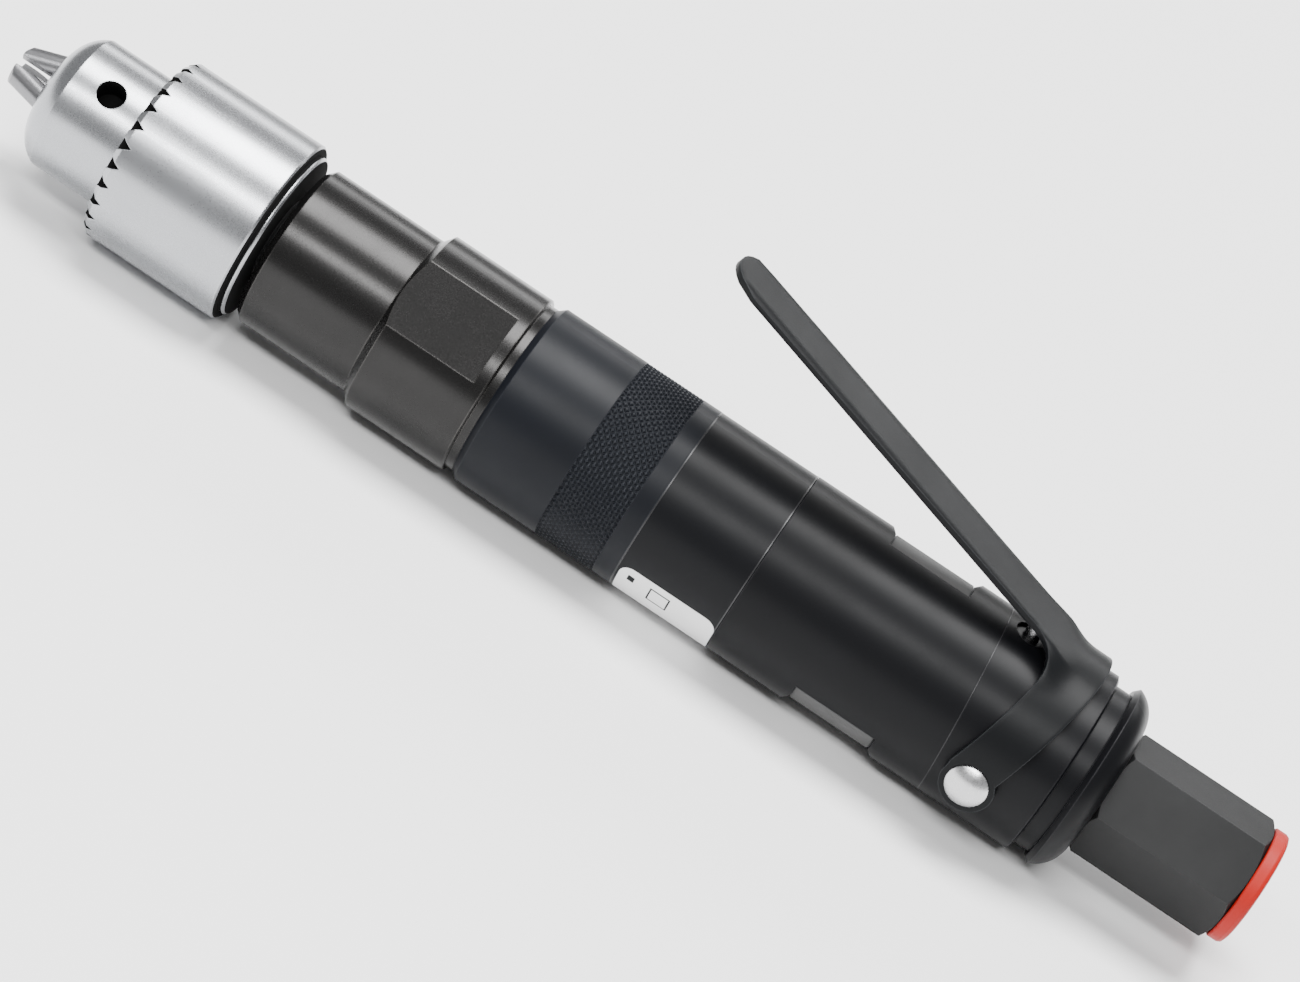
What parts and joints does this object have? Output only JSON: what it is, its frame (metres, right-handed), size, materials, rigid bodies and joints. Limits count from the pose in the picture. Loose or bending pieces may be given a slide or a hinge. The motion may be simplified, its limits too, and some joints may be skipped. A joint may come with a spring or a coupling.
{
  "type": "in-line air drill",
  "caption": "Slim in-line pneumatic drill with a keyed three-jaw chuck, a knurled grip housing, a lever throttle over the rear head and a hexagonal air inlet with a dust plug.",
  "frame": {"origin": "on the spindle axis, in the middle of the smooth clamping land of the housing", "axes": "+X along the spindle axis towards the air inlet, with the chuck at -X; +Z towards the lever; +Y completes the right-handed set"},
  "size_m": [0.2161, 0.0354, 0.0543],
  "materials": {
    "chuck_steel": "satin ground steel",
    "jaw_steel": "hardened steel, oiled",
    "shaft_steel": "ground steel",
    "gear_steel": "hobbed and hardened",
    "bearing_steel": "polished",
    "brass": "bright",
    "cast_iron": "honed",
    "gunmetal": "semi-gloss black oxide",
    "housing_black": "satin anodised black",
    "hex_grey": "satin black oxide",
    "lever_black": "satin black oxide",
    "bright_screw": "polished",
    "film_black": "satin film",
    "panel_white": "satin print",
    "plug_red": "moulded",
    "rubber": "matt",
    "vane_composite": "laminated phenolic"
  },
  "bodies": {
    "housing": {"gear_case": "gunmetal", "motor_housing": "housing_black", "exhaust_sleeve": "housing_black", "label_film": "film_black", "label_panel": "panel_white", "throttle_body": "housing_black", "lever_screws": "bright_screw", "plunger_bushing": "gunmetal", "plunger_seal": "rubber", "valve_seat": "rubber", "valve_spring": "shaft_steel", "rear_flange": "housing_black", "inlet_bushing": "hex_grey", "inlet_screen": "shaft_steel", "bearing_cap": "shaft_steel", "shaft_seal": "rubber", "front_bearing_outer": "bearing_steel", "second_bearing_outer": "bearing_steel", "ring_gear": "gear_steel", "front_end_plate": "cast_iron", "rear_end_plate": "cast_iron", "rotor_front_bearing_outer": "bearing_steel", "rotor_rear_bearing_outer": "bearing_steel", "cylinder_liner": "cast_iron", "liner_dowel": "shaft_steel", "spring_washer": "shaft_steel", "air_tube": "brass", "muffler": "brass"},
    "spindle": {"spindle": "shaft_steel", "planet_pins": "shaft_steel", "carrier_plate": "shaft_steel", "bearing_spacer": "shaft_steel", "front_bearing_inner": "bearing_steel", "second_bearing_inner": "bearing_steel", "chuck_body": "chuck_steel"},
    "chuck_sleeve": {"chuck_sleeve": "chuck_steel", "chuck_nut": "chuck_steel"},
    "jaw_1": {"jaw_1": "jaw_steel"},
    "jaw_2": {"jaw_2": "jaw_steel"},
    "jaw_3": {"jaw_3": "jaw_steel"},
    "planet_1": {"planet_gear_1": "gear_steel"},
    "planet_2": {"planet_gear_2": "gear_steel"},
    "planet_3": {"planet_gear_3": "gear_steel"},
    "front_cage": {"front_bearing_cage": "brass"},
    "second_cage": {"second_bearing_cage": "brass"},
    "rotor": {"rotor": "shaft_steel", "rotor_shaft": "shaft_steel", "vanes": "vane_composite", "rotor_front_bearing_inner": "bearing_steel", "rotor_rear_bearing_inner": "bearing_steel"},
    "rotor_front_cage": {"rotor_front_bearing_cage": "brass"},
    "rotor_rear_cage": {"rotor_rear_bearing_cage": "brass"},
    "lever": {"lever": "lever_black"},
    "plunger": {"throttle_plunger": "shaft_steel"},
    "valve": {"tilt_valve": "shaft_steel", "valve_face": "rubber"},
    "plug": {"dust_plug": "plug_red"}
  },
  "joints": [
    {"name": "spindle_spin", "type": "hinge", "parent": "housing", "child": "spindle", "pos_m": [0, 0, 0], "axis": [1, 0, 0], "continuous": true},
    {"name": "rotor_spin", "type": "hinge", "parent": "housing", "child": "rotor", "pos_m": [0, 0, 0], "axis": [1, 0, 0], "continuous": true},
    {"name": "front_cage_spin", "type": "hinge", "parent": "housing", "child": "front_cage", "pos_m": [0, 0, 0], "axis": [1, 0, 0], "continuous": true},
    {"name": "second_cage_spin", "type": "hinge", "parent": "housing", "child": "second_cage", "pos_m": [0, 0, 0], "axis": [1, 0, 0], "continuous": true},
    {"name": "rotor_front_cage_spin", "type": "hinge", "parent": "housing", "child": "rotor_front_cage", "pos_m": [0, 0, 0], "axis": [1, 0, 0], "continuous": true},
    {"name": "rotor_rear_cage_spin", "type": "hinge", "parent": "housing", "child": "rotor_rear_cage", "pos_m": [0, 0, 0], "axis": [1, 0, 0], "continuous": true},
    {"name": "planet_1_spin", "type": "hinge", "parent": "spindle", "child": "planet_1", "pos_m": [0, 0.00601, 0], "axis": [1, 0, 0], "continuous": true},
    {"name": "planet_2_spin", "type": "hinge", "parent": "spindle", "child": "planet_2", "pos_m": [0, -0.003, 0.0052], "axis": [1, 0, 0], "continuous": true},
    {"name": "planet_3_spin", "type": "hinge", "parent": "spindle", "child": "planet_3", "pos_m": [0, -0.003, -0.0052], "axis": [1, 0, 0], "continuous": true},
    {"name": "chuck_sleeve_turn", "type": "hinge", "parent": "spindle", "child": "chuck_sleeve", "pos_m": [-0.07, 0, 0], "axis": [1, 0, 0], "range_deg": [-590, 1090]},
    {"name": "jaw_1_slide", "type": "slide", "parent": "spindle", "child": "jaw_1", "axis": [0.9511, -0.3059, -0.0441], "range_m": [-0.0029, 0.00532]},
    {"name": "jaw_2_slide", "type": "slide", "parent": "spindle", "child": "jaw_2", "axis": [0.9511, 0.1911, -0.2428], "range_m": [-0.0029, 0.00532]},
    {"name": "jaw_3_slide", "type": "slide", "parent": "spindle", "child": "jaw_3", "axis": [0.9511, 0.1148, 0.2869], "range_m": [-0.0029, 0.00532]},
    {"name": "lever_press", "type": "hinge", "parent": "housing", "child": "lever", "pos_m": [0.07865, 0, -0.0026], "axis": [0, -1, 0], "range_deg": [0, 14], "stiffness_Nm_per_rad": 0.35, "springref_deg": -5.73, "deforming": ["valve_spring"]},
    {"name": "plunger_slide", "type": "slide", "parent": "housing", "child": "plunger", "axis": [0, 0, -1], "range_m": [0, 0.00197]},
    {"name": "valve_tilt", "type": "hinge", "parent": "housing", "child": "valve", "pos_m": [0.083, 0, 0.004], "axis": [0, -1, 0], "range_deg": [0, 14.2]},
    {"name": "plug_pull", "type": "slide", "parent": "housing", "child": "plug", "axis": [1, 0, 0], "range_m": [0, 0.045]}
  ],
  "couplings": [
    {"joint": "rotor_spin", "follows": "spindle_spin", "ratio": 5},
    {"joint": "front_cage_spin", "follows": "spindle_spin", "ratio": 0.37812},
    {"joint": "second_cage_spin", "follows": "spindle_spin", "ratio": 0.37812},
    {"joint": "rotor_front_cage_spin", "follows": "spindle_spin", "ratio": 1.9474},
    {"joint": "rotor_rear_cage_spin", "follows": "spindle_spin", "ratio": 1.9474},
    {"joint": "planet_1_spin", "follows": "spindle_spin", "ratio": -2.6667},
    {"joint": "planet_2_spin", "follows": "spindle_spin", "ratio": -2.6667},
    {"joint": "planet_3_spin", "follows": "spindle_spin", "ratio": -2.6667},
    {"joint": "jaw_1_slide", "follows": "chuck_sleeve_turn", "m_per_rad": 0.00027852},
    {"joint": "jaw_2_slide", "follows": "chuck_sleeve_turn", "m_per_rad": 0.00027852},
    {"joint": "jaw_3_slide", "follows": "chuck_sleeve_turn", "m_per_rad": 0.00027852},
    {"joint": "plunger_slide", "follows": "lever_press", "m_per_rad": 0.0079784},
    {"joint": "valve_tilt", "follows": "lever_press", "ratio": 1.0081}
  ]
}
